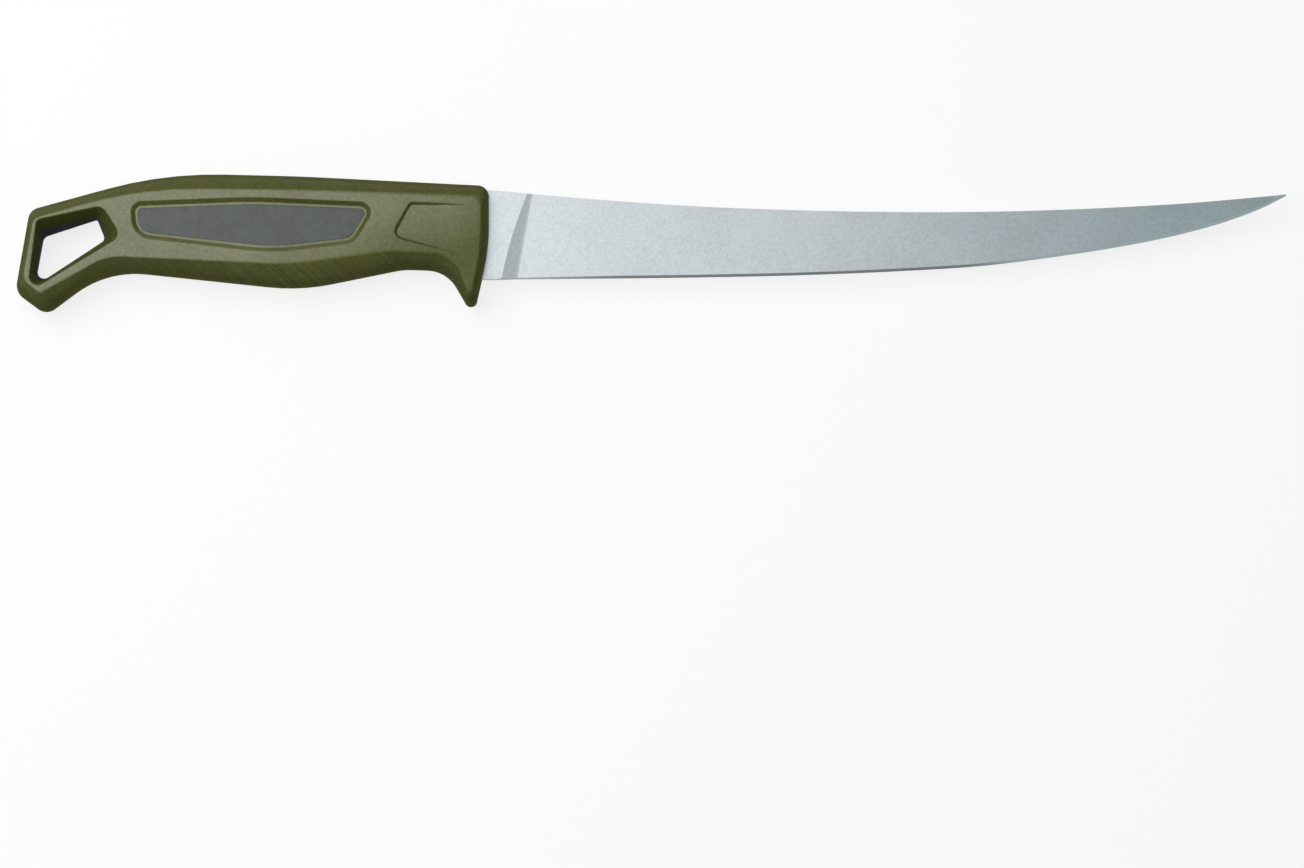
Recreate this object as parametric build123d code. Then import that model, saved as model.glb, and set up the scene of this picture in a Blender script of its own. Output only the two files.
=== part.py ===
from build123d import *

import os
from math import asin, atan2, cos, radians, sin, sqrt, tan

# Fillet knife lying on its side: one ground steel blade with a hidden tang, a rigid core
# moulded round the tang, and a soft grip moulded round the core.
# Millimetres. While it is built, X runs along the blade from the front face of the handle,
# Y runs up the blade towards its spine, and Z = 0 is the blade's middle plane.
# At the end everything is moved so that Z = 0 is the face that the knife rests on and
# X = Y = 0 is the middle of its outline.

# Blade
BLADE_LENGTH = 229.6
BLADE_HEIGHT = 26.0
BLADE_STOCK = 2.5
SPINE_THICKNESS_HEEL = 2.0
SPINE_THICKNESS_TIP = 0.8
BEVEL_THICKNESS = 0.5
BEVEL_HEIGHT = 0.8
EDGE_WIDTH = 0.1
HOLLOW_DEPTH = 0.15
PLUNGE_TOP_SETBACK = 12.7
PLUNGE_FOOT_SETBACK = 8.4
RAMP_EASE_LENGTH = 1.2

# Tang
SHOULDER_DEPTH = 5.0
SHOULDER_RADIUS = 2.0
TANG_LENGTH = 88.0
TANG_HEIGHT_FRONT = 13.0
TANG_HEIGHT_REAR = 9.0
TANG_RISE = 2.5
TANG_HOLE_DIAMETER = 4.5
TANG_END_RADIUS = 3.0

# Handle as a whole
HANDLE_LENGTH = 135.7
HANDLE_HEIGHT = 39.4
HANDLE_THICKNESS = 20.0
CROWN_STEPS = 6

# Rigid core
CORE_PLATE_THICKNESS = 6.0
CORE_SLEEVE_WALL = 3.0
PANEL_SINK = 1.2
CORE_CORNER_RADIUS = 2.0
LINER_BAND_WIDTH = 2.0

# Soft grip
PANEL_BEVEL_WIDTH = 1.2
PANEL_LEDGE_WIDTH = 0.7
THUMB_STEP = 1.0
THUMB_BEVEL_WIDTH = 0.8

# How far a cutting shape runs past what it cuts
OVERRUN = 1.0

# Blade outline from heel to tip: share of the length, then the heights of the spine and
# of the edge above the middle line as shares of the blade height
BLADE_OUTLINE_SHARES = (
    (0.000, 0.497, -0.497),
    (0.126, 0.400, -0.487),
    (0.252, 0.322, -0.474),
    (0.377, 0.278, -0.451),
    (0.502, 0.257, -0.408),
    (0.628, 0.260, -0.335),
    (0.720, 0.283, -0.229),
    (0.800, 0.315, -0.115),
    (0.870, 0.352, 0.016),
    (0.930, 0.396, 0.169),
    (0.970, 0.429, 0.306),
    (1.000, 0.455, 0.440),
)
# The edge bevel starts low at the heel, is at full height this far along, and never takes
# more than its largest share of the blade's height
BEVEL_HEEL_SHARE = 0.4
BEVEL_FULL_SHARE = 0.15
BEVEL_LARGEST_SHARE = 0.4
# Where the hollow of a flank is cut into strips, from the spine down to the edge bevel
FLANK_STEP_SHARES = (0.0, 0.3, 0.7, 1.0)
# Rise of the ramp behind the plunge line over its run, and where its eased start is cut
RAMP_RISE_SHARE = 0.235
RAMP_EASE_SHARES = (0.0, 0.25, 0.5, 0.75, 1.0)
TANG_HOLE_SHARES = (0.30, 0.75)

# Handle outline, clockwise from the butt's upper corner: the corners that its straight runs
# would meet in, and their radii. All corners on the handle are given as how far forward from
# the butt as a share of the length, and how far up from the blade's middle line as a share
# of the height. The rim is the widest outline, at mid thickness, and the flat is on the side.
HANDLE_RIM_SHARES = (
    (0.0255, 0.180),
    (0.314, 0.456),
    (0.600, 0.431),
    (0.999, 0.359),
    (1.000, -0.100),
    (0.967, -0.603),
    (0.909, -0.262),
    (0.820, -0.252),
    (0.600, -0.408),
    (0.188, -0.255),
    (0.062, -0.589),
    (-0.003, -0.424),
)
HANDLE_RIM_RADII = (4.0, 115.0, 500.0, 3.2, 60.0, 1.8, 10.0, 20.0, 60.0, 29.0, 4.0, 4.0)
HANDLE_FLAT_SHARES = (
    (0.039, 0.086),
    (0.260, 0.305),
    (0.600, 0.296),
    (0.983, 0.239),
    (0.983, -0.120),
    (0.962, -0.505),
    (0.926, -0.166),
    (0.790, -0.146),
    (0.580, -0.246),
    (0.195, -0.190),
    (0.053, -0.461),
    (0.018, -0.354),
)
HANDLE_FLAT_RADII = (2.5, 115.0, 500.0, 3.0, 60.0, 0.8, 9.0, 40.0, 60.0, 15.0, 1.5, 4.0)
# How far each corner's edge has turned from upright where it meets the flat, in degrees:
# a small angle leaves a sharp crease along the flat, a large one runs smoothly into it
HANDLE_CROWN_DEGREES = (70.0, 52.0, 54.0, 82.0, 66.0, 80.0, 80.0, 62.0, 52.0, 54.0, 62.0, 78.0)

# Edge of the core's plate, clockwise from its upper rear corner, inside the outline above
CORE_OUTLINE_SHARES = (
    (0.052, 0.112),
    (0.345, 0.325),
    (0.520, 0.328),
    (0.950, 0.248),
    (0.980, 0.080),
    (0.974, -0.240),
    (0.959, -0.462),
    (0.910, -0.212),
    (0.830, -0.175),
    (0.570, -0.272),
    (0.260, -0.214),
    (0.172, -0.243),
    (0.067, -0.462),
    (0.024, -0.385),
    (0.019, -0.280),
)

# Lanyard loop, clockwise from the upper rear corner: where it is narrowest, inside the
# core, and its mouth in the side flat, with the radius of each corner
LOOP_WAIST_SHARES = ((0.055, -0.014), (0.168, 0.115), (0.186, -0.039), (0.037, -0.379))
LOOP_WAIST_RADII = (2.2, 0.7, 1.6, 2.0)
LOOP_MOUTH_SHARES = ((0.046, 0.077), (0.184, 0.180), (0.224, -0.041), (0.028, -0.456))
LOOP_MOUTH_RADII = (1.8, 3.0, 2.6, 2.4)
# Where the core ends on the way from the waist to the mouth, at each corner
LOOP_LINER_SHARES = (0.45, 0.25, 0.1, 0.3)

# Panel of core that shows in each side of the grip, clockwise from its upper rear corner
PANEL_OUTLINE_SHARES = (
    (0.258, 0.165),
    (0.500, 0.197),
    (0.745, 0.160),
    (0.708, -0.052),
    (0.541, -0.118),
    (0.262, -0.006),
)
PANEL_RADII = (1.2, 150.0, 1.4, 3.6, 60.0, 4.2)

# Thumb recess beside the blade, from its rear corner clockwise; it runs out of the front
THUMB_OUTLINE_SHARES = ((0.801, -0.033), (0.836, 0.189), (1.020, 0.183), (1.020, -0.253))
THUMB_RADII = (1.8, 1.2, 0.0, 0.0)
THUMB_FADE_SHARE = 0.955

def on_handle(forward, up):
    """Point from shares of the handle's length and height."""
    return (HANDLE_LENGTH * (forward - 1), HANDLE_HEIGHT * up)


def between(start, end, share):
    """Point at a share of the way from one point to another, also past its end."""
    return tuple(a + (b - a) * share for a, b in zip(start, end))


def rounded_ring(corners, radii, z=0.0):
    """Closed wire of straight runs and tangent arcs; a radius of 0 leaves a sharp corner."""
    count = len(corners)
    corner_starts = []
    corner_ends = []
    corner_middles = []
    for i, (corner, radius) in enumerate(zip(corners, radii)):
        here = Vector(*corner, z)
        back = (Vector(*corners[i - 1], z) - here).normalized()
        ahead = (Vector(*corners[(i + 1) % count], z) - here).normalized()
        half_turn = atan2(back.cross(ahead).length, back.dot(ahead)) / 2
        setback = radius / tan(half_turn)
        corner_starts.append(here + back * setback)
        corner_ends.append(here + ahead * setback)
        inward = (back + ahead).normalized()
        corner_middles.append(here + inward * (radius / sin(half_turn) - radius))
    edges = []
    for i, radius in enumerate(radii):
        if radius > 0:
            edges.append(
                Edge.make_three_point_arc(corner_starts[i], corner_middles[i], corner_ends[i])
            )
        edges.append(Edge.make_line(corner_ends[i], corner_starts[(i + 1) % count]))
    return Wire(edges)


def grown_corners(corners, distance):
    """Corners of a clockwise outline whose sides have all moved outwards by a distance."""
    grown = []
    for i, (x, y) in enumerate(corners):
        back = (Vector(x, y) - Vector(*corners[i - 1])).normalized()
        ahead = (Vector(*corners[(i + 1) % len(corners)]) - Vector(x, y)).normalized()
        out_back = Vector(-back.Y, back.X)
        out_ahead = Vector(-ahead.Y, ahead.X)
        shift = (out_back + out_ahead) * (distance / (1 + out_back.dot(out_ahead)))
        grown.append((x + shift.X, y + shift.Y))
    return grown


def prism(wire, low, high):
    """Upright solid on a flat outline drawn at z = 0."""
    return Pos(0, 0, low) * extrude(Face(wire), amount=high - low, dir=(0, 0, 1))


# Blade


def blade_line(column, x):
    """Height of the spine (column 1) or of the edge (column 2) at a distance from the heel."""
    share = x / BLADE_LENGTH
    rows = BLADE_OUTLINE_SHARES
    after = next((i for i, row in enumerate(rows) if row[0] > share and i > 0), len(rows) - 1)
    low, high = rows[after - 1], rows[after]
    part = (share - low[0]) / (high[0] - low[0])
    return BLADE_HEIGHT * (low[column] + (high[column] - low[column]) * part)


def blade_section(x_spine, x_edge, growth=0.0):
    """Hollow-ground section of the blade, thicker by a growth on each side."""
    spine = blade_line(1, x_spine)
    edge = blade_line(2, x_edge)
    height = spine - edge
    taper = x_spine / BLADE_LENGTH
    spine_half = (SPINE_THICKNESS_HEEL + (SPINE_THICKNESS_TIP - SPINE_THICKNESS_HEEL) * taper) / 2
    along = min(max(x_edge / (BLADE_LENGTH * BEVEL_FULL_SHARE), 0), 1)
    bevel_share = BEVEL_HEEL_SHARE + (1 - BEVEL_HEEL_SHARE) * along
    bevel_height = min(BEVEL_HEIGHT * bevel_share, BEVEL_LARGEST_SHARE * height)
    bevel_half = BEVEL_THICKNESS / 2
    hollow = HOLLOW_DEPTH * (height / BLADE_HEIGHT) ** 2

    lean = (x_spine - x_edge) / height
    levels = []
    for share in FLANK_STEP_SHARES:
        y, half = between((spine, spine_half), (edge + bevel_height, bevel_half), share)
        levels.append((y, half - hollow * 4 * share * (1 - share)))
    levels.append((edge, EDGE_WIDTH / 2))
    upper = [(x_edge + lean * (y - edge), y, half + growth) for y, half in levels]
    lower = [(x, y, -z) for x, y, z in reversed(upper)]
    return Wire.make_polygon(upper + lower, close=True)


def make_blade():
    """Plate with its tang, hollow ground in front of the plunge line."""
    stations = [share * BLADE_LENGTH for share, _, _ in BLADE_OUTLINE_SHARES[1:]]
    plunge = blade_section(PLUNGE_TOP_SETBACK, PLUNGE_FOOT_SETBACK)
    ground = Solid.make_loft([plunge] + [blade_section(x, x) for x in stations])

    # The wheel leaves a ramp behind the plunge line: an eased start, then a steady slope
    # until it is clear of the full stock
    deepest = (BLADE_STOCK - EDGE_WIDTH) / 2 + OVERRUN
    ramp_sections = []
    for share in RAMP_EASE_SHARES:
        back = RAMP_EASE_LENGTH * share
        rise = RAMP_RISE_SHARE * back * share / 2
        ramp_sections.append(
            blade_section(PLUNGE_TOP_SETBACK - back, PLUNGE_FOOT_SETBACK - back, rise)
        )
    back = deepest / RAMP_RISE_SHARE + RAMP_EASE_LENGTH / 2
    ramp_sections.append(
        blade_section(PLUNGE_TOP_SETBACK - back, PLUNGE_FOOT_SETBACK - back, deepest)
    )
    behind_tang = SHOULDER_DEPTH + TANG_LENGTH + OVERRUN
    ramp_sections.append(blade_section(-behind_tang, -behind_tang, deepest))
    ground_limit = Solid.make_loft(ramp_sections, True)

    half_front = TANG_HEIGHT_FRONT / 2
    half_rear = TANG_HEIGHT_REAR / 2
    plate_corners = (
        (PLUNGE_TOP_SETBACK, blade_line(1, PLUNGE_TOP_SETBACK)),
        (PLUNGE_FOOT_SETBACK, blade_line(2, PLUNGE_FOOT_SETBACK)),
        (-SHOULDER_DEPTH, blade_line(2, 0)),
        (-SHOULDER_DEPTH, TANG_RISE - half_front),
        (-SHOULDER_DEPTH - TANG_LENGTH, TANG_RISE - half_rear),
        (-SHOULDER_DEPTH - TANG_LENGTH, TANG_RISE + half_rear),
        (-SHOULDER_DEPTH, TANG_RISE + half_front),
        (-SHOULDER_DEPTH, blade_line(1, 0)),
        (0, blade_line(1, 0)),
    )
    plate_radii = (0, 0, SHOULDER_RADIUS, SHOULDER_RADIUS, TANG_END_RADIUS, TANG_END_RADIUS,
                   SHOULDER_RADIUS, 0, 0)
    plate = prism(rounded_ring(plate_corners, plate_radii), -BLADE_STOCK / 2, BLADE_STOCK / 2)

    heel = plate & ground_limit

    blade = ground + heel
    for share in TANG_HOLE_SHARES:
        hole = Cylinder(TANG_HOLE_DIAMETER / 2, BLADE_STOCK + OVERRUN)
        blade -= Pos(-SHOULDER_DEPTH - TANG_LENGTH * share, TANG_RISE, 0) * hole
    return blade


# Handle forms


def handle_ring(level):
    """Outline of the handle at a share of the way from its mid thickness to its flat."""
    corners = []
    radii = []
    for i, degrees in enumerate(HANDLE_CROWN_DEGREES):
        steepest = radians(degrees)
        angle = asin(abs(level) * sin(steepest))
        inward_share = (1 - cos(angle)) / (1 - cos(steepest))
        rim = on_handle(*HANDLE_RIM_SHARES[i])
        flat = on_handle(*HANDLE_FLAT_SHARES[i])
        corners.append(between(rim, flat, inward_share))
        widening = HANDLE_FLAT_RADII[i] - HANDLE_RIM_RADII[i]
        radii.append(HANDLE_RIM_RADII[i] + widening * inward_share)
    return rounded_ring(corners, radii, level * HANDLE_THICKNESS / 2)


def make_handle_form():
    """Full outer form of the handle: flat sides, and edges rounded in narrow bands."""
    steepest = radians(max(HANDLE_CROWN_DEGREES))
    rings = []
    for step in range(-CROWN_STEPS, CROWN_STEPS + 1):
        rings.append(handle_ring(sin(steepest * step / CROWN_STEPS) / sin(steepest)))
    return Solid.make_loft(rings, True)


def loop_ring(shares, z):
    """Outline of the lanyard loop, each corner at a share of the way from waist to mouth."""
    waist = [on_handle(*row) for row in LOOP_WAIST_SHARES]
    mouth = [on_handle(*row) for row in LOOP_MOUTH_SHARES]
    corners = [between(low, high, share) for low, high, share in zip(waist, mouth, shares)]
    radii = []
    for low, high, share in zip(LOOP_WAIST_RADII, LOOP_MOUTH_RADII, shares):
        radii.append(low + (high - low) * share)
    return rounded_ring(corners, radii, z)


def make_loop_liner_hole():
    """Loop through the core: a straight band round its waist, splayed out to both faces."""
    face = CORE_PLATE_THICKNESS / 2
    band = LINER_BAND_WIDTH / 2
    at_waist = [0] * len(LOOP_WAIST_SHARES)
    rings = [
        loop_ring(LOOP_LINER_SHARES, -face),
        loop_ring(at_waist, -band),
        loop_ring(at_waist, band),
        loop_ring(LOOP_LINER_SHARES, face),
    ]
    return Solid.make_loft(rings, True)


def make_loop_grip_hole():
    """Loop through the grip: straight past the core, then splayed out to each side flat."""
    inner = CORE_PLATE_THICKNESS / 2
    outer = HANDLE_THICKNESS / 2
    past = 1 + OVERRUN / (outer - inner)
    widest_shares = [share + (1 - share) * past for share in LOOP_LINER_SHARES]
    low = loop_ring(LOOP_LINER_SHARES, -inner)
    high = loop_ring(LOOP_LINER_SHARES, inner)
    middle = Solid.make_loft([low, high], True)
    splay = Solid.make_loft([high, loop_ring(widest_shares, outer + OVERRUN)], True)
    return middle + splay + splay.mirror(Plane.XY)


def panel_ring(outset, z):
    """Outline of the core's side panel, moved outwards by a distance."""
    corners = [on_handle(*row) for row in PANEL_OUTLINE_SHARES]
    radii = [radius + outset for radius in PANEL_RADII]
    return rounded_ring(grown_corners(corners, outset), radii, z)


def make_panel_window():
    """Bevelled window in one side of the grip, with a narrow ledge round the core's panel."""
    top = HANDLE_THICKNESS / 2
    floor = top - PANEL_SINK
    widest = PANEL_LEDGE_WIDTH + PANEL_BEVEL_WIDTH * (1 + OVERRUN / PANEL_SINK)
    foot = panel_ring(PANEL_LEDGE_WIDTH, floor)
    bevel = Solid.make_loft([foot, panel_ring(widest, top + OVERRUN)], True)
    return bevel + prism(panel_ring(0, 0), 0, floor)


def make_thumb_recess():
    """Wedge taken off one side flat: deepest at its rear corner, fading out to the front."""
    rear = on_handle(*THUMB_OUTLINE_SHARES[0])[0]
    run = HANDLE_LENGTH * (THUMB_FADE_SHARE - THUMB_OUTLINE_SHARES[0][0])
    floor = Plane(
        origin=(rear, 0, HANDLE_THICKNESS / 2 - THUMB_STEP),
        x_dir=(run, 0, THUMB_STEP),
        z_dir=(-THUMB_STEP, 0, run),
    )
    corners = [on_handle(*row) for row in THUMB_OUTLINE_SHARES]
    corners = [(x - rear, y) for x, y in corners]
    height = THUMB_STEP + OVERRUN
    spread = height * THUMB_BEVEL_WIDTH / THUMB_STEP
    wider_radii = [radius + spread if radius else 0 for radius in THUMB_RADII]
    rings = [rounded_ring(corners, THUMB_RADII)]
    rings.append(rounded_ring(grown_corners(corners, spread), wider_radii, height))
    return floor * Solid.make_loft(rings, True)


# Handle pieces


def make_core(blade):
    """Rigid moulding: a plate out to the loop, a sleeve round the tang and two side panels."""
    plate_half = CORE_PLATE_THICKNESS / 2
    corners = [on_handle(*row) for row in CORE_OUTLINE_SHARES]
    outline = rounded_ring(corners, [CORE_CORNER_RADIUS] * len(corners))
    core = prism(outline, -plate_half, plate_half)
    core -= make_loop_liner_hole()

    front = TANG_HEIGHT_FRONT / 2 + CORE_SLEEVE_WALL
    rear = TANG_HEIGHT_REAR / 2 + CORE_SLEEVE_WALL
    sleeve_corners = (
        (-SHOULDER_DEPTH, TANG_RISE + front),
        (-SHOULDER_DEPTH, TANG_RISE - front),
        (-SHOULDER_DEPTH - TANG_LENGTH - CORE_SLEEVE_WALL, TANG_RISE - rear),
        (-SHOULDER_DEPTH - TANG_LENGTH - CORE_SLEEVE_WALL, TANG_RISE + rear),
    )
    sleeve_half = BLADE_STOCK / 2 + CORE_SLEEVE_WALL
    sleeve_radii = [TANG_END_RADIUS] * len(sleeve_corners)
    core += prism(rounded_ring(sleeve_corners, sleeve_radii), -sleeve_half, sleeve_half)

    panel_half = HANDLE_THICKNESS / 2 - PANEL_SINK
    core += prism(panel_ring(0, 0), -panel_half, panel_half)
    return core - blade


def make_grip(blade, core):
    """Soft moulding: the handle's outer form less the loop, windows, recesses and core."""
    grip = make_handle_form() - make_loop_grip_hole()
    for cutter in (make_panel_window(), make_thumb_recess()):
        grip -= cutter
        grip -= cutter.mirror(Plane.XY)
    return grip - core - blade


def main():
    blade = make_blade()
    core = make_core(blade)
    grip = make_grip(blade, core)
    pieces = {"blade": blade, "handle_core": core, "grip_overmould": grip}

    whole = Compound(children=[piece.solid() for piece in pieces.values()]).bounding_box()
    middle = whole.center()
    seat = Pos(-middle.X, -middle.Y, -whole.min.Z)
    os.makedirs("parts", exist_ok=True)
    for name, piece in pieces.items():
        export_step(seat * piece.solid(), f"parts/{name}.step")
        print(name, len(piece.solids()), round(piece.volume))


main()
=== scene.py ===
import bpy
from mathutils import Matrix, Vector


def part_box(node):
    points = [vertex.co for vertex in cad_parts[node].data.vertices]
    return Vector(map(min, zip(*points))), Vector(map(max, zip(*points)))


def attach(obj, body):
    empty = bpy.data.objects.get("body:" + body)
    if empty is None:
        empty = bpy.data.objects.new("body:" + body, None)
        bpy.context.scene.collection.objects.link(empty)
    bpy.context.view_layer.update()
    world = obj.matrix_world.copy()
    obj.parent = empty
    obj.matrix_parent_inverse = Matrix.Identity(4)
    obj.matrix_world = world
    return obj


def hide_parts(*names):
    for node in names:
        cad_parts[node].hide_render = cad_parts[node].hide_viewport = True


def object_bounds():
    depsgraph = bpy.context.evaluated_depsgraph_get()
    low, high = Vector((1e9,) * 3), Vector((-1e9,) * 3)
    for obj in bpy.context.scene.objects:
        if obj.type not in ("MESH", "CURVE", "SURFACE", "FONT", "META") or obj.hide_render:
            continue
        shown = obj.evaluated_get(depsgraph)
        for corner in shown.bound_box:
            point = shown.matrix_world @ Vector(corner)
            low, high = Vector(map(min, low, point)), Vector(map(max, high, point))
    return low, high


bl_info = {
    "name": "Fillet Knife",
    "version": (1, 0, 0),
    "blender": (4, 5, 0),
    "location": "3D View > Sidebar > Fillet Knife",
    "description": "Dresses a fillet knife: satin blade, rigid core and soft grip, on a pale floor",
    "category": "Add Mesh",
}

from math import asin, atan2, ceil, cos, degrees, radians, sin, sqrt, tan

import bmesh
import bpy
from bpy.props import FloatProperty, FloatVectorProperty, PointerProperty
from mathutils import Vector
from mathutils.geometry import delaunay_2d_cdt

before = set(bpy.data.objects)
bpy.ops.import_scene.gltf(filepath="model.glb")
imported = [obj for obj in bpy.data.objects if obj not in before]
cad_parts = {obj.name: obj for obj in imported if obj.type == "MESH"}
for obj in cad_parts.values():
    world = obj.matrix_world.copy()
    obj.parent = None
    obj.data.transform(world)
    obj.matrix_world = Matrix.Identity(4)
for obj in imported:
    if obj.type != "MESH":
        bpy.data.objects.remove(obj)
CAD_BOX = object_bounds()
GRIP_LOW, GRIP_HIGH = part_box("grip_overmould")
BLADE_LOW, BLADE_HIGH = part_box("blade")
MM = 0.001

# Where the grip's box lies on the handle, in the shares that the outlines below are given in:
# forward from the butt along the length, and up from the blade's middle line by the height
RIM_REAR, RIM_FRONT = -0.0005, 0.9993
RIM_FOOT, RIM_TOP = -0.5634, 0.4459

# Outline of the handle at mid thickness (rim) and at the edge of the side flat: the corners
# that the straight runs would meet in, clockwise from the butt's upper corner, the radius of
# each in millimetres, how far each edge band has turned inwards where it meets the flat, and
# how wide the rounding of the crease is there, next to the crease of the settings
RIM_CORNERS = (
    (0.0255, 0.180),
    (0.314, 0.456),
    (0.600, 0.431),
    (0.999, 0.359),
    (1.000, -0.100),
    (0.967, -0.603),
    (0.909, -0.262),
    (0.820, -0.252),
    (0.600, -0.408),
    (0.188, -0.255),
    (0.062, -0.589),
    (-0.003, -0.424),
)
RIM_RADII = (4.0, 115.0, 500.0, 3.2, 60.0, 1.8, 10.0, 20.0, 60.0, 29.0, 4.0, 4.0)
FLAT_CORNERS = (
    (0.039, 0.086),
    (0.260, 0.305),
    (0.600, 0.296),
    (0.983, 0.239),
    (0.983, -0.120),
    (0.962, -0.505),
    (0.926, -0.166),
    (0.790, -0.146),
    (0.580, -0.246),
    (0.195, -0.190),
    (0.053, -0.461),
    (0.018, -0.354),
)
FLAT_RADII = (2.5, 115.0, 500.0, 3.0, 60.0, 0.8, 9.0, 40.0, 60.0, 15.0, 1.5, 4.0)
CROWN_DEGREES = (70.0, 52.0, 54.0, 82.0, 66.0, 80.0, 80.0, 62.0, 52.0, 54.0, 62.0, 78.0)
CREASE_SHARES = (0.25, 1.0, 1.0, 1.0, 1.0, 1.0, 1.5, 2.5, 1.0, 1.0, 1.0, 1.0)

# Lanyard loop: at its waist inside the core, and at its mouth in the side flat. At the core's
# face the liner has gone a share of the way from the waist to the mouth, given for each corner.
# Its splay is eased in: straight for a share of the half waist band, then to a point that is a
# small share of the way out and up to the face
WAIST_CORNERS = ((0.055, -0.014), (0.168, 0.115), (0.186, -0.039), (0.037, -0.379))
WAIST_RADII = (2.2, 0.7, 1.6, 2.0)
MOUTH_CORNERS = ((0.046, 0.077), (0.184, 0.180), (0.224, -0.041), (0.028, -0.456))
MOUTH_RADII = (1.8, 3.0, 2.6, 2.4)
LINER_SHARES = (0.45, 0.25, 0.1, 0.3)
WAIST_STRAIGHT_SHARE = 0.8
SPLAY_EASE_OUT = 0.12
SPLAY_EASE_UP = 0.1

# Side panel of the core, and the thumb recess beside the blade
PANEL_CORNERS = (
    (0.258, 0.165),
    (0.500, 0.197),
    (0.745, 0.160),
    (0.708, -0.052),
    (0.541, -0.118),
    (0.262, -0.006),
)
PANEL_RADII = (1.2, 150.0, 1.4, 3.6, 60.0, 4.2)
THUMB_CORNERS = ((0.801, -0.033), (0.836, 0.189), (1.020, 0.183), (1.020, -0.253))
THUMB_RADII = (1.8, 1.2)
THUMB_FADE_SHARE = 0.955

# Plate of the core inside the grip, and the radius of its corners in millimetres
PLATE_RADIUS = 2.0
PLATE_CORNERS = (
    (0.052, 0.112),
    (0.345, 0.325),
    (0.520, 0.328),
    (0.950, 0.248),
    (0.980, 0.080),
    (0.974, -0.240),
    (0.959, -0.462),
    (0.910, -0.212),
    (0.830, -0.175),
    (0.570, -0.272),
    (0.260, -0.214),
    (0.172, -0.243),
    (0.067, -0.462),
    (0.024, -0.385),
    (0.019, -0.280),
)

# Blade outline: share of the blade length in front of the heel, then the height of the spine
# and of the edge above the middle line as shares of the blade height
BLADE_ROWS = (
    (0.000, 0.497, -0.497),
    (0.126, 0.400, -0.487),
    (0.252, 0.322, -0.474),
    (0.377, 0.278, -0.451),
    (0.502, 0.257, -0.408),
    (0.628, 0.260, -0.335),
    (0.720, 0.283, -0.229),
    (0.800, 0.315, -0.115),
    (0.870, 0.352, 0.016),
    (0.930, 0.396, 0.169),
    (0.970, 0.429, 0.306),
    (1.000, 0.455, 0.440),
)
BLADE_HEIGHT = 26.0 * MM

# Tang behind the heel and the middles of its lock holes, and the sleeve of the core round the
# tang, in millimetres from the heel: clockwise from the lower rear corner. A hole is a square
# whose corners are rounded by nearly half its side
TANG_CORNERS = ((-93.0, -2.0), (-93.0, 7.0), (-4.9, 9.0), (-4.9, -4.0))
TANG_RADII = (3.0, 3.0, 0.5, 0.5)
TANG_HOLES = ((-31.4, 2.5), (-71.0, 2.5))
TANG_HOLE_RADIUS = 2.25
NEARLY_ROUND = 0.98
SLEEVE_CORNERS = ((-96.0, -5.0), (-96.0, 10.0), (-5.0, 12.0), (-5.0, -7.0))
SLEEVE_RADII = (3.0, 3.0, 3.0, 3.0)

# Rows on the side of the blade: 0 is the spine, 1 is where the edge bevel starts, 2 is the edge
FLANK_STEPS = 16
FLANK_ROWS = (*(step / FLANK_STEPS for step in range(FLANK_STEPS)), 0.992, 1.0)
BEVEL_ROWS = (1.15, 1.5, 1.85, 2.0)

# Places along each row: on the plate between the shoulder and the crease, as shares, then over
# the ramp down to the plunge line, then from a share of the blade's length to the tip. The first
# of those in front of the plunge line still follow its slant
SHOULDER = -5.0 * MM
PLATE_STATIONS = (0.0, 0.4, 0.7, 0.85)
RAMP_STATIONS = 12
FLANK_STATIONS = 120
SLANTED_STATIONS = 16
FLANK_START_SHARE = 0.065

# The edge bevel starts at a share of its height at the heel, grows to its full height over a
# share of the length, and takes up no more than a share of the blade's height near the tip
BEVEL_HEEL_SHARE = 0.4
BEVEL_FULL_SHARE = 0.15
BEVEL_LARGEST_SHARE = 0.4

# Rounding of fine corners: the blade's spine, the crease where its ramp starts, and the rim of
# a side panel; the least radius of an outline's corner; and the points round such a rounding
SPINE_ROUNDING = 0.08 * MM
PLUNGE_ROUNDING = 0.14 * MM
PANEL_ROUNDING = 0.12 * MM
SMALLEST_RADIUS = 0.05 * MM
ROUNDING_SHARES = (0.0, 0.25, 0.5, 0.75, 1.0)

# Degrees to a step round the corners of the outlines
FINE_STEP = 4.0
MIDDLE_STEP = 5.0
COARSE_STEP = 6.0

# Levels of the grip's edge band between the rim and the crease, and points on each long run of
# a thumb recess
CROWN_LEVELS = 12
THUMB_RUN_POINTS = 10

# The crease's rounding starts below the flat by a share of its width. The lips of the windows
# and of the recesses are shares of the lip in the settings. The first falls by a share of its
# own width, and the second by a share of the recess's depth; it grows faster than the depth
CREASE_FALL_SHARE = 0.7
WINDOW_LIP_SHARE = 0.8
WINDOW_FALL_SHARE = 0.6
THUMB_LIP_SHARE = 0.7
THUMB_FALL_SHARE = 0.4
THUMB_LIP_GROWTH = 1.6

# Surfaces that meet at more than this angle are shaded with a sharp line between them, larger
# faces count for more in the shading of a point than small ones do, and points that are no
# farther apart than the weld distance become one
SHARP_ANGLE = radians(35.0)
SHADING_WEIGHT = 80
WELD_DISTANCE = 0.002 * MM
FILL_PRECISION = 1e-9

# Directions in the frame: along the knife to the tip, up its side view, and out of its side
FORWARD = (1.0, 0.0, 0.0)
UP = (0.0, 1.0, 0.0)
DOWN = (0.0, -1.0, 0.0)
OUT = (0.0, 0.0, 1.0)

# Where the blade's colour changes, in millimetres forward from the knife's middle: from where
# to where the ground bevel's painted shade appears, the bevel brightens, and painted shade
# darkens the satin to the tip's tint, which is given in shares of the steel's red, green and blue
BEVEL_APPEARS = (-45.0, -5.0)
BEVEL_BRIGHTENS = (85.0, 110.0)
SHADE_TOWARDS_TIP = (33.0, 168.0)
TIP_SHADE_TINT = (0.65, 0.73, 0.74)

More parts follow.
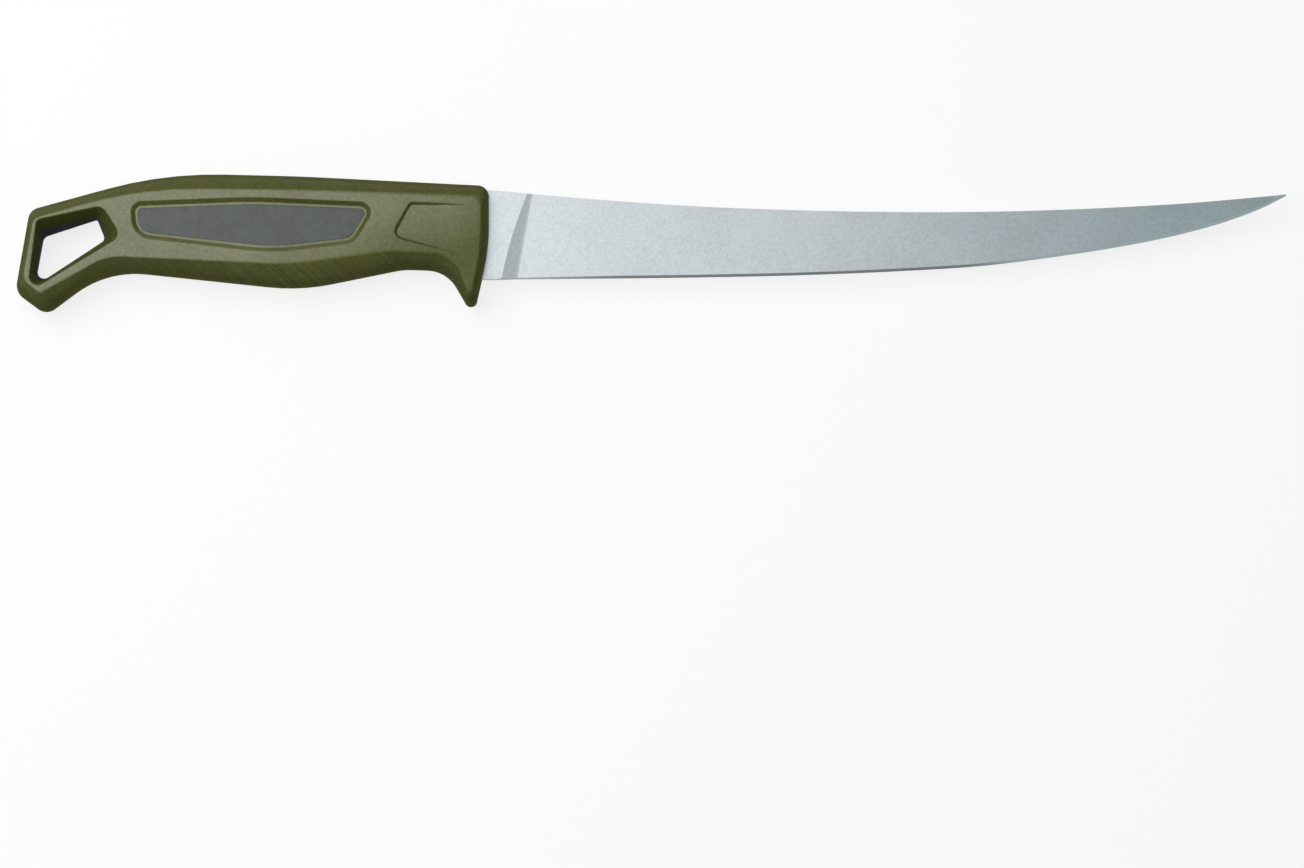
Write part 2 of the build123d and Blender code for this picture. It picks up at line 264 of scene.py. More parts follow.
# Marks of the grip's mould, in millimetres from the knife's middle: the ejector pins in the
# side flats, and from where to where the trim marks on the belly come and go
PIN_MARKS = ((-150.1, -2.3), (-79.1, -0.3))
PIN_MARK_RADIUS = 3.0
PIN_MARK_WIDTH = 0.4
TRIM_COMES = (-157.0, -140.0)
TRIM_GOES = (-85.0, -65.0)
TRIM_FADES_UPWARDS = (-4.0, -1.0)
TRIM_ACROSS = (0.62, 0.79, 0.0)

# The grip's texture, in millimetres from the knife's middle: from where to where it comes and
# goes on the slope below each side panel, and from where to where it wears off on the side
# flats, measured in a direction down to the guard
SLOPE_COMES = (-150.0, -146.0)
SLOPE_GOES = (-84.0, -78.0)
SLOPE_FADES_UPWARDS = (4.0, 7.0)
WORN_TOWARDS = (0.35, -1.0, 0.0)
WEARS_OFF = (-40.0, -14.0)

# The floor reaches this far to each side, and lies a small gap below the knife
FLOOR_REACH = 3.0
FLOOR_GAP = 0.02 * MM
WHITE = (1.0, 1.0, 1.0, 1.0)


def on_handle(forward, up):
    """Point of the handle's side view from its shares, in the frame of the part."""
    across = (forward - RIM_REAR) / (RIM_FRONT - RIM_REAR)
    raised = (up - RIM_FOOT) / (RIM_TOP - RIM_FOOT)
    return Vector((
        GRIP_LOW.x + (GRIP_HIGH.x - GRIP_LOW.x) * across,
        GRIP_LOW.y + (GRIP_HIGH.y - GRIP_LOW.y) * raised,
    ))


HEEL = on_handle(1.0, 0.0)
MIDDLE_HEIGHT = (GRIP_LOW.z + GRIP_HIGH.z) / 2
HALF_THICKNESS = (GRIP_HIGH.z - GRIP_LOW.z) / 2
BLADE_LENGTH = BLADE_HIGH.x - HEEL.x


# Outlines and surfaces


def mix(start, end, share):
    """Value at a share of the way from one number or point to another."""
    return start + (end - start) * share


def rounded(start, corner, end, share):
    """Value at a share of the way round a corner between two numbers or points."""
    rest = 1 - share
    return start * rest**2 + corner * (2 * share * rest) + end * share**2


class Outline:
    """Closed clockwise outline of straight runs and rounded corners."""

    def __init__(self, corners, radii):
        self.corners = [Vector(corner) for corner in corners]
        self.radii = list(radii)

    def turn(self, index):
        """How far the outline turns to the right at a corner."""
        here = self.corners[index]
        back = here - self.corners[index - 1]
        ahead = self.corners[(index + 1) % len(self.corners)] - here
        return -atan2(back.cross(ahead), back.dot(ahead))

    def steps(self, degrees_a_step=MIDDLE_STEP):
        """Number of pieces that each rounded corner is cut into."""
        return [
            max(3, ceil(abs(degrees(self.turn(i))) / degrees_a_step))
            for i in range(len(self.corners))
        ]

    def toward(self, other, shares):
        """Outline whose corners lie at a share each of the way to those of another."""
        corners = [mix(a, b, s) for a, b, s in zip(self.corners, other.corners, shares)]
        radii = [mix(a, b, s) for a, b, s in zip(self.radii, other.radii, shares)]
        return Outline(corners, radii)

    def grown(self, distance):
        """Outline with every side moved outwards by a distance."""
        corners = []
        radii = []
        for i, here in enumerate(self.corners):
            back = (here - self.corners[i - 1]).normalized()
            ahead = (self.corners[(i + 1) % len(self.corners)] - here).normalized()
            out_back = Vector((-back.y, back.x))
            out_ahead = Vector((-ahead.y, ahead.x))
            shift = (out_back + out_ahead) * (distance / (1 + out_back.dot(out_ahead)))
            corners.append(here + shift)
            turned = distance if self.turn(i) > 0 else -distance
            radii.append(max(self.radii[i] + turned, SMALLEST_RADIUS))
        return Outline(corners, radii)

    def points(self, steps, runs=4):
        """Points along the outline: the same number for the same steps and runs."""
        arcs = []
        for i, here in enumerate(self.corners):
            back = (self.corners[i - 1] - here).normalized()
            ahead = (self.corners[(i + 1) % len(self.corners)] - here).normalized()
            half = atan2(abs(back.cross(ahead)), back.dot(ahead)) / 2
            radius = self.radii[i]
            inward = (back + ahead).normalized()
            centre = here + inward * (radius / sin(half))
            start = here + back * (radius / tan(half)) - centre
            angle = self.turn(i)
            arc = []
            for step in range(steps[i] + 1):
                turned = -angle * step / steps[i]
                spin = Vector((
                    start.x * cos(turned) - start.y * sin(turned),
                    start.x * sin(turned) + start.y * cos(turned),
                ))
                arc.append(centre + spin)
            arcs.append(arc)
        points = []
        for i, arc in enumerate(arcs):
            points.extend(arc)
            after = arcs[(i + 1) % len(arcs)][0]
            points.extend(mix(arc[-1], after, run / runs) for run in range(1, runs))
        return points


def handle_outline(corners, radii):
    """Outline from corners in shares of the handle and radii in millimetres."""
    return Outline([on_handle(*corner) for corner in corners], [r * MM for r in radii])


def heel_outline(corners, radii):
    """Outline from corners in millimetres from the heel and radii in millimetres."""
    return Outline([HEEL + Vector(corner) * MM for corner in corners], [r * MM for r in radii])


class Skin:
    """Surface of a piece, put together from rows of points and planar fills."""

    def __init__(self):
        self.mesh = bmesh.new()

    def row(self, points, height):
        """Points of a row on the mesh; the height is above the knife's middle plane."""
        heights = height if isinstance(height, list) else [height] * len(points)
        return [
            self.mesh.verts.new((p.x, p.y, MIDDLE_HEIGHT + h)) for p, h in zip(points, heights)
        ]

    def bridge(self, first, second, closed=True):
        """Band of faces between two rows with the same number of points."""
        count = len(first)
        for i in range(count if closed else count - 1):
            j = (i + 1) % count
            self.mesh.faces.new((first[i], first[j], second[j], second[i]))

    def sweep(self, rows, closed=True):
        """Bands of faces from each row to the next."""
        for first, second in zip(rows, rows[1:]):
            self.bridge(first, second, closed)

    def lip(self, outer, corner, inner, high, low):
        """Rows over the rounded lip of an opening, from its edge at one height down to another,
        or to a height for each point."""
        ends = low if isinstance(low, list) else [low] * len(outer)
        rows = []
        for share in ROUNDING_SHARES:
            points = [rounded(*three, share) for three in zip(outer, corner, inner)]
            rows.append(self.row(points, [rounded(high, high, end, share) for end in ends]))
        return rows

    def fill(self, outer, holes=()):
        """Flat faces inside a row of points and outside the holes in it."""
        loops = [outer, *holes]
        verts = [v for loop in loops for v in loop]
        edges = []
        base = 0
        for loop in loops:
            edges.extend((base + i, base + (i + 1) % len(loop)) for i in range(len(loop)))
            base += len(loop)
        _, lines, faces, vert_sources, line_sources, _ = delaunay_2d_cdt(
            [Vector(v.co[:2]) for v in verts], edges, [], 0, FILL_PRECISION
        )
        walls = {frozenset(line) for line, source in zip(lines, line_sources) if source}
        sides = {}
        for number, face in enumerate(faces):
            for i, here in enumerate(face):
                sides.setdefault(frozenset((face[i - 1], here)), []).append(number)

        # From the outside inwards: each line of a loop that is crossed changes in and out
        within = {}
        todo = [
            (owners[0], edge in walls) for edge, owners in sides.items() if len(owners) == 1
        ]
        while todo:
            number, state = todo.pop()
            if number in within:
                continue
            within[number] = state
            face = faces[number]
            for i, here in enumerate(face):
                edge = frozenset((face[i - 1], here))
                todo.extend((other, state != (edge in walls)) for other in sides[edge])
        for number, face in enumerate(faces):
            if within[number]:
                self.mesh.faces.new([verts[vert_sources[i][0]] for i in face])

    def mirror(self):
        """Adds the other half, mirrored in the knife's middle plane."""
        copy = bmesh.ops.duplicate(self.mesh, geom=[*self.mesh.verts, *self.mesh.faces])
        for item in copy["geom"]:
            if isinstance(item, bmesh.types.BMVert):
                item.co.z = 2 * MIDDLE_HEIGHT - item.co.z

    def piece(self, name, material, node):
        """Ends the surface and gives it a name, its material and its place on the knife."""
        bmesh.ops.remove_doubles(self.mesh, verts=self.mesh.verts, dist=WELD_DISTANCE)
        bmesh.ops.recalc_face_normals(self.mesh, faces=self.mesh.faces)
        for face in self.mesh.faces:
            face.smooth = True
        mesh = bpy.data.meshes.new(name)
        self.mesh.to_mesh(mesh)
        self.mesh.free()
        mesh.set_sharp_from_angle(angle=SHARP_ANGLE)
        mesh.materials.append(material)
        thing = bpy.data.objects.new(name, mesh)
        bpy.context.scene.collection.objects.link(thing)
        weighted = thing.modifiers.new("even_shading", "WEIGHTED_NORMAL")
        weighted.keep_sharp = True
        weighted.weight = SHADING_WEIGHT
        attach(thing, "root")
        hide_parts(node)
        return thing


# Shader building


class Signal:
    """Value on its way through a material; arithmetic on it adds the nodes that do it."""

    def __init__(self, sheet, socket):
        self.sheet = sheet
        self.socket = socket

    def maths(self, operation, first, second):
        return self.sheet.add(
            "ShaderNodeMath", {"operation": operation}, {0: first, 1: second}
        )

    def __add__(self, other):
        return self.maths("ADD", self, other)

    def __radd__(self, other):
        return self.maths("ADD", other, self)

    def __sub__(self, other):
        return self.maths("SUBTRACT", self, other)

    def __rsub__(self, other):
        return self.maths("SUBTRACT", other, self)

    def __mul__(self, other):
        return self.maths("MULTIPLY", self, other)

    def __rmul__(self, other):
        return self.maths("MULTIPLY", other, self)

    def most(self, other):
        """The larger of this value and another."""
        return self.maths("MAXIMUM", self, other)

    def between(self, low, high):
        """0 below the low value, 1 above the high one, and a smooth step between the two."""
        return self.sheet.add(
            "ShaderNodeMapRange",
            {"interpolation_type": "SMOOTHSTEP"},
            {"Value": self, "From Min": low, "From Max": high},
        )


class Sheet:
    """Material or world under construction."""

    def __init__(self, owner):
        self.owner = owner
        owner.use_nodes = True
        self.tree = owner.node_tree
        self.tree.nodes.clear()

    def node(self, kind, settings=None, values=None):
        """New node: its settings first, then the values or links of its sockets."""
        made = self.tree.nodes.new(kind)
        for name, value in (settings or {}).items():
            setattr(made, name, value)
        for name, value in (values or {}).items():
            socket = made.inputs[name]
            if isinstance(value, Signal):
                self.tree.links.new(value.socket, socket)
            else:
                socket.default_value = value
        return made

    def add(self, kind, settings=None, values=None, output=0):
        """Output of a new node, as a value to go on with."""
        return Signal(self, self.node(kind, settings, values).outputs[output])

    def place(self, stretch=(1.0, 1.0, 1.0)):
        """Position on the object in millimetres, stretched."""
        position = self.add("ShaderNodeTexCoord", output="Object")
        scale = [s / MM for s in stretch]
        return self.add("ShaderNodeMapping", {}, {"Vector": position, "Scale": scale})

    def along(self, direction):
        """Position on the object along a direction, in millimetres."""
        return self.add(
            "ShaderNodeVectorMath", {"operation": "DOT_PRODUCT"},
            {0: self.place(), 1: direction}, output="Value",
        )

    def ring(self, middle, radius, width):
        """1 on a ring in the side view, falling to 0 at a width from it, in millimetres."""
        side_view = self.add(
            "ShaderNodeVectorMath", {"operation": "MULTIPLY"},
            {0: self.place(), 1: (1.0, 1.0, 0.0)},
        )
        distance = self.add(
            "ShaderNodeVectorMath", {"operation": "DISTANCE"},
            {0: side_view, 1: (*middle, 0.0)}, output="Value",
        )
        inside = distance.between(radius - width, radius)
        return inside - distance.between(radius, radius + width)

    def noise(self, size, where=None, detail=2.0, roughness=0.5):
        """Soft noise from 0 to 1 with patches of a size in millimetres."""
        return self.add(
            "ShaderNodeTexNoise",
            {"noise_dimensions": "3D"},
            {"Vector": where or self.place(), "Scale": 1.0 / size, "Detail": detail,
             "Roughness": roughness},
        )

    def facing(self, direction):
        """How far the surface faces a direction: 1 straight to it, -1 straight away."""
        normal = self.add("ShaderNodeNewGeometry", output="Normal")
        return self.add(
            "ShaderNodeVectorMath", {"operation": "DOT_PRODUCT"}, {0: normal, 1: direction},
            output="Value",
        )

    def blend(self, share, first, second):
        """Colour between two others; the node's sockets for colours go by number."""
        return self.add(
            "ShaderNodeMix",
            {"data_type": "RGBA", "clamp_factor": True},
            {0: share, 6: first, 7: second},
            output=2,
        )

    def bump(self, height, depth, strength):
        """Surface relief of a depth in millimetres."""
        values = {"Height": height, "Distance": depth * MM, "Strength": strength}
        return self.add("ShaderNodeBump", {}, values)

    def seen(self):
        """1 for what the camera sees, also in metal and through glass, and 0 for other light."""
        path = self.node("ShaderNodeLightPath")
        camera, glossy, transmission = (
            Signal(self, path.outputs[ray])
            for ray in ("Is Camera Ray", "Is Glossy Ray", "Is Transmission Ray")
        )
        return camera.most(glossy).most(transmission)

    def surface(self, shader):
        """The finished material, with a shader joined to its output."""
        self.node("ShaderNodeOutputMaterial", {}, {"Surface": shader})
        return self.owner

    def principled(self, values):
        """The finished material, from the values of its main shader."""
        return self.surface(self.add("ShaderNodeBsdfPrincipled", {}, values))


def tone(colour, factor):
    """Colour made lighter or darker."""
    return (*(min(1.0, c * factor) for c in colour[:3]), 1.0)


# Finishes


def satin_steel(options):
    """Fine satin steel: a mottled bead-blasted grain, and painted shade on the bevel along the
    edge.
    """
    sheet = Sheet(bpy.data.materials.new("satin_steel"))
    cloud = sheet.noise(14.0, detail=3.0)
    grain = sheet.noise(0.34, detail=3.0, roughness=0.6)
    speck = sheet.noise(0.9, detail=2.0)
    marks = sheet.noise(1.0, sheet.place((0.12, 1.9, 1.0)), detail=3.0, roughness=0.6)
    shade = 0.45 * grain + 0.3 * speck + 0.15 * cloud + 0.1 * marks
    mottle = shade.between(0.40, 0.60)
    tip_shade_colour = [value * share for value, share in zip(options.colour, TIP_SHADE_TINT)]

    # Painted shade: the satin is painted darker and bluer towards the tip
    length = sheet.along(FORWARD)
    flank = sheet.blend(
        length.between(*SHADE_TOWARDS_TIP),
        sheet.blend(mottle, tone(options.colour, 0.91), tone(options.colour, 1.08)),
        sheet.blend(mottle, tone(tip_shade_colour, 0.91), tone(tip_shade_colour, 1.08)),
    )

    # Painted shade on the down-facing ground bevel, which starts near the handle; the shade
    # ends before the tip
    ground = sheet.facing(DOWN).between(0.1, 0.2) * length.between(*BEVEL_APPEARS)
    bevel = sheet.blend(
        length.between(*BEVEL_BRIGHTENS), tone(options.colour, 0.4), tone(tip_shade_colour, 1.2)
    )
    colour = sheet.blend(ground, flank, bevel)

    # Painted highlight where the plunge line catches the light: a faint forward tilt just below
    # the plate's full thickness, found by its height above the middle plane, squared so that both
    # sides count
    height = sheet.along(OUT) - MIDDLE_HEIGHT / MM
    full = (height * height).between(1.1, 1.3)
    tilt = sheet.facing(FORWARD)
    gleam = full * (tilt.between(0.01, 0.05) - tilt.between(0.12, 0.2))
    colour = sheet.blend(gleam, colour, tone(options.colour, 1.5))

    rough = 0.30 + 0.10 * grain + 0.06 * cloud
    relief = sheet.bump(0.7 * grain + 0.3 * marks, depth=0.006, strength=0.35)
    return sheet.principled({
        "Base Color": colour,
        "Metallic": 1.0,
        "Roughness": rough,
        "Normal": relief,
    })


def rigid_core(options):
    """Rigid dark plastic: mottled satin from the mould, a little lighter in soft patches."""
    sheet = Sheet(bpy.data.materials.new("rigid_core"))
    patches = sheet.noise(9.0, detail=4.0, roughness=0.6)
    blots = sheet.noise(2.2, detail=3.0, roughness=0.6)
    grain = sheet.noise(0.5, detail=3.0, roughness=0.6)
    shade = 0.5 * patches + 0.25 * blots + 0.25 * grain
    colour = sheet.blend(
        shade.between(0.41, 0.59), tone(options.colour, 0.6), tone(options.colour, 1.45)
    )

    # The walls of the loop are rougher than the panels, and painted darker as shade where
    # they face sideways
    upright = sheet.facing(OUT)
    steep = 1.0 - (upright * upright).between(0.05, 0.5)
    colour = sheet.blend(steep, colour, tone(options.colour, 0.5))
    rough = 0.34 + 0.2 * patches + 0.4 * steep
    relief = sheet.bump(grain, depth=0.012, strength=0.5)
    return sheet.principled({
        "Base Color": colour,
        "Roughness": rough,
        "Normal": relief,
        "Specular IOR Level": 0.6,
    })


def soft_grip(options):
    """Soft moulded grip: a fine pale texture on the side flats, smoother and darker edges,
    slanting trim marks along the belly and the faint rings of the ejector pins, in relief and
    with painted shade."""
    sheet = Sheet(bpy.data.materials.new("soft_grip"))
    grain = sheet.noise(0.42, detail=4.0, roughness=0.65)
    fleck = sheet.noise(1.1, detail=2.0)
    cloud = sheet.noise(16.0, detail=2.0)
    rings = sum(sheet.ring(middle, PIN_MARK_RADIUS, PIN_MARK_WIDTH) for middle in PIN_MARKS)
    length = sheet.along(FORWARD)
    height = sheet.along(UP)

    # The belly's edge band carries the trim marks
    belly = sheet.facing(DOWN).between(0.3, 0.6) * (1.0 - height.between(*TRIM_FADES_UPWARDS))
    stretch = length.between(*TRIM_COMES) - length.between(*TRIM_GOES)
    streaks = sheet.add(
        "ShaderNodeTexNoise", {"noise_dimensions": "1D"},
        {"W": sheet.along(TRIM_ACROSS), "Scale": 1.1, "Detail": 1.0},
    )
    marks = belly * stretch * (streaks - 0.5)

    # The rings of the ejector pins are also painted darker: painted shade of their shallow dips
    shade = 0.4 * grain + 0.35 * fleck + 0.25 * cloud + 0.35 * marks - 0.08 * rings
    colour = sheet.blend(
        shade.between(0.38, 0.62), tone(options.colour, 0.78), tone(options.colour, 1.22)
    )

    # The pale texture lies on the side flats and on the slope below each panel, and wears off
    # towards the guard; what faces along the side view is rougher and has none
    upright = sheet.facing(OUT)
    level = upright * upright
    slope = sheet.facing(UP).between(0.3, 0.6) * (1.0 - height.between(*SLOPE_FADES_UPWARDS))
    slope *= length.between(*SLOPE_COMES) - length.between(*SLOPE_GOES)
    worn = sheet.along(WORN_TOWARDS).between(*WEARS_OFF)
    texture = (level.between(0.6, 0.99) + slope) * (1.0 - 0.8 * worn)
    rough = 0.42 + 0.12 * grain + 0.45 * (1.0 - level.between(0.05, 0.45))
    relief = sheet.bump(grain + 0.6 * marks - 1.2 * rings, depth=0.03, strength=0.5)
    return sheet.principled({
        "Base Color": colour,
        "Roughness": rough,
        "Normal": relief,
        "Specular IOR Level": 0.12,
        "Coat Weight": texture * (0.5 + 0.35 * fleck + 0.2 * cloud),
        "Coat Roughness": 0.45,
        "Coat IOR": 1.8,
    })


def pale_floor(options):
    """Pale floor that the camera sees as near white, with the shadow kept."""
    sheet = Sheet(bpy.data.materials.new("pale_floor"))
    grain = sheet.noise(2.0)
    colour = sheet.blend(
        grain, tone(options.floor_colour, 0.985), tone(options.floor_colour, 1.0)
    )
    lit = sheet.add("ShaderNodeBsdfDiffuse", {}, {"Color": colour})
    dimmed = sheet.add("ShaderNodeBsdfDiffuse", {}, {"Color": tone(options.floor_colour, 0.6)})
    glow = sheet.add(
        "ShaderNodeEmission", {}, {"Color": WHITE, "Strength": options.floor_glow}
    )
    pale = sheet.add("ShaderNodeAddShader", {}, {0: dimmed, 1: glow})
    return sheet.surface(
        sheet.add("ShaderNodeMixShader", {}, {0: sheet.seen(), 1: lit, 2: pale})
    )


def pale_room(options):
    """World that is seen white and gives a faint even light."""
    world = bpy.data.worlds.new("pale_room")
    sheet = Sheet(world)
    strength = sheet.add(
        "ShaderNodeMapRange", {}, {"Value": sheet.seen(), "To Min": options.room, "To Max": 1.0}
    )
    light = sheet.add("ShaderNodeBackground", {}, {"Color": WHITE, "Strength": strength})
    sheet.node("ShaderNodeOutputWorld", {}, {"Surface": light})
    return world


# Pieces


def blade_line(column, share):
    """Height of the spine or the edge at a share of the blade length, on a smooth curve."""
    rows = BLADE_ROWS
    after = next(i for i, row in enumerate(rows) if row[0] >= share and i > 0)
    low, high = rows[after - 1], rows[after]
    span = high[0] - low[0]

    def slope(i):
        """Slope of the curve at a row."""
        if i == 0 or i == len(rows) - 1:
            j = max(i, 1)
            return (rows[j][column] - rows[j - 1][column]) / (rows[j][0] - rows[j - 1][0])
        before, here, ahead = rows[i - 1], rows[i], rows[i + 1]
        back = (here[column] - before[column]) / (here[0] - before[0])
        front = (ahead[column] - here[column]) / (ahead[0] - here[0])
        weight = (ahead[0] - here[0]) / (ahead[0] - before[0])
        return back * weight + front * (1 - weight)

    t = (share - low[0]) / span
    value = (
        (2 * t**3 - 3 * t**2 + 1) * low[column]
        + (t**3 - 2 * t**2 + t) * span * slope(after - 1)
        + (3 * t**2 - 2 * t**3) * high[column]
        + (t**3 - t**2) * span * slope(after)
    )
    return value * BLADE_HEIGHT


class BladeSettings(bpy.types.PropertyGroup):
    """Sizes and colour of the blade."""

    stock: FloatProperty(
        name="Stock", description="Thickness of the unground plate",
        default=BLADE_HIGH.z - BLADE_LOW.z, unit="LENGTH",
    )
    spine_heel: FloatProperty(
        name="Spine at the heel", description="Thickness of the ground spine at the heel",
        default=2.0 * MM, unit="LENGTH",
    )
    spine_tip: FloatProperty(
        name="Spine at the tip", description="Thickness of the ground spine at the tip",
        default=0.8 * MM, unit="LENGTH",
    )
    bevel_thickness: FloatProperty(
        name="Bevel thickness", description="Thickness where the edge bevel starts",
        default=0.5 * MM, unit="LENGTH",
    )
    bevel_height: FloatProperty(
        name="Bevel height", description="Height of the edge bevel",
        default=0.8 * MM, unit="LENGTH",
    )
    edge_width: FloatProperty(
        name="Edge width", description="Width left at the cutting edge",
        default=0.1 * MM, unit="LENGTH",
    )
    hollow: FloatProperty(
        name="Hollow", description="Depth of the hollow grind where the blade is highest",
        default=0.15 * MM, unit="LENGTH",
    )
    plunge_top: FloatProperty(
        name="Plunge setback, spine", description="Distance of the plunge line in front of the "
        "heel at the spine", default=12.7 * MM, unit="LENGTH",
    )
    plunge_foot: FloatProperty(
        name="Plunge setback, edge", description="Distance of the plunge line in front of the "
        "heel at the edge", default=8.4 * MM, unit="LENGTH",
    )
    ramp_rise: FloatProperty(
        name="Ramp rise", description="Rise of the ramp behind the plunge line over its run",
        default=0.235, subtype="FACTOR",
    )
    ramp_ease: FloatProperty(
        name="Ramp ease", description="Length over which the ramp eases out of the flank",
        default=1.2 * MM, unit="LENGTH",
    )
    colour: FloatVectorProperty(
        name="Steel", description="Colour of the satin steel", subtype="COLOR",
        size=3, min=0.0, max=1.0, default=(0.365, 0.395, 0.41),
    )


class CoreSettings(bpy.types.PropertyGroup):
    """Sizes and colour of the rigid core."""

    panel_sink: FloatProperty(
        name="Panel sink", description="Depth of the side panels below the flats of the grip",
        default=1.2 * MM, unit="LENGTH",
    )
    seam: FloatProperty(
        name="Seam", description="Fine gap between the panels and the grip",
        default=0.04 * MM, unit="LENGTH",
    )
    plate: FloatProperty(
        name="Plate", description="Thickness of the core at the loop",
        default=6.0 * MM, unit="LENGTH",
    )
    sleeve: FloatProperty(
        name="Sleeve", description="Thickness of the core round the tang",
        default=8.5 * MM, unit="LENGTH",
    )
    waist_band: FloatProperty(
        name="Waist band", description="Straight band round the narrowest part of the loop",
        default=2.0 * MM, unit="LENGTH",
    )
    colour: FloatVectorProperty(
        name="Core", description="Colour of the rigid plastic", subtype="COLOR",
        size=3, min=0.0, max=1.0, default=(0.045, 0.056, 0.054),
    )


class GripSettings(bpy.types.PropertyGroup):
    """Sizes and colour of the soft grip."""

    crease: FloatProperty(
        name="Crease", description="Rounding where the edge bands meet the side flats",
        default=0.45 * MM, unit="LENGTH",
    )
    lip: FloatProperty(
        name="Lip", description="Rounding round the loop, the windows and the recesses",
        default=0.4 * MM, unit="LENGTH",
    )
    window_bevel: FloatProperty(
        name="Window bevel", description="Width of the bevel round the side panels",
        default=1.2 * MM, unit="LENGTH",
    )
    window_ledge: FloatProperty(
        name="Window ledge", description="Width of the ledge between the bevel and the panel",
        default=0.7 * MM, unit="LENGTH",
    )
    thumb_step: FloatProperty(
        name="Thumb step", description="Depth of the thumb recess at its rear",
        default=1.0 * MM, unit="LENGTH",
    )
    thumb_bevel: FloatProperty(
        name="Thumb bevel", description="Width of the step round the thumb recess at its rear",
        default=0.8 * MM, unit="LENGTH",
    )
    colour: FloatVectorProperty(
        name="Grip", description="Colour of the soft grip", subtype="COLOR",
        size=3, min=0.0, max=1.0, default=(0.132, 0.145, 0.037),
    )


class StageSettings(bpy.types.PropertyGroup):
    """Light and camera round the knife."""

    key_power: FloatProperty(
        name="Key light", description="Power of the large soft light overhead",
        default=4.2, min=0.0, unit="POWER",
    )
    key_size: FloatVectorProperty(
        name="Key size", description="Length and width of the large soft light",
        size=2, default=(0.7, 0.8), unit="LENGTH",
    )
    key_place: FloatVectorProperty(
        name="Key place", description="Place of the large soft light from the knife's middle",
        size=3, default=(-0.42, 0.19, 0.85), subtype="TRANSLATION", unit="LENGTH",
    )
    room: FloatProperty(
        name="Room light", description="Strength of the even light from all round",
        default=0.15, min=0.0, subtype="FACTOR",
    )
    floor_colour: FloatVectorProperty(
        name="Floor", description="Colour of the pale floor", subtype="COLOR",
        size=3, min=0.0, max=1.0, default=(0.6, 0.6, 0.6),
    )
    floor_glow: FloatProperty(
        name="Floor glow", description="White added to the floor where the camera sees it",
        default=0.8, min=0.0, subtype="FACTOR",
    )
    lens: FloatProperty(
        name="Lens", description="Focal length of the camera", default=182.8 * MM,
        unit="LENGTH",
    )
    distance: FloatProperty(
        name="Distance", description="Distance of the camera from the knife",
        default=1.9, unit="LENGTH",
    )
    elevation: FloatProperty(
        name="Elevation", description="Angle of the camera above the floor",
        default=radians(83.4), subtype="ANGLE",
    )
    aim: FloatVectorProperty(
        name="Aim", description="Point that the camera looks at", size=3,
        default=(-0.05 * MM, -55.3 * MM, 10.0 * MM), subtype="TRANSLATION", unit="LENGTH",
    )


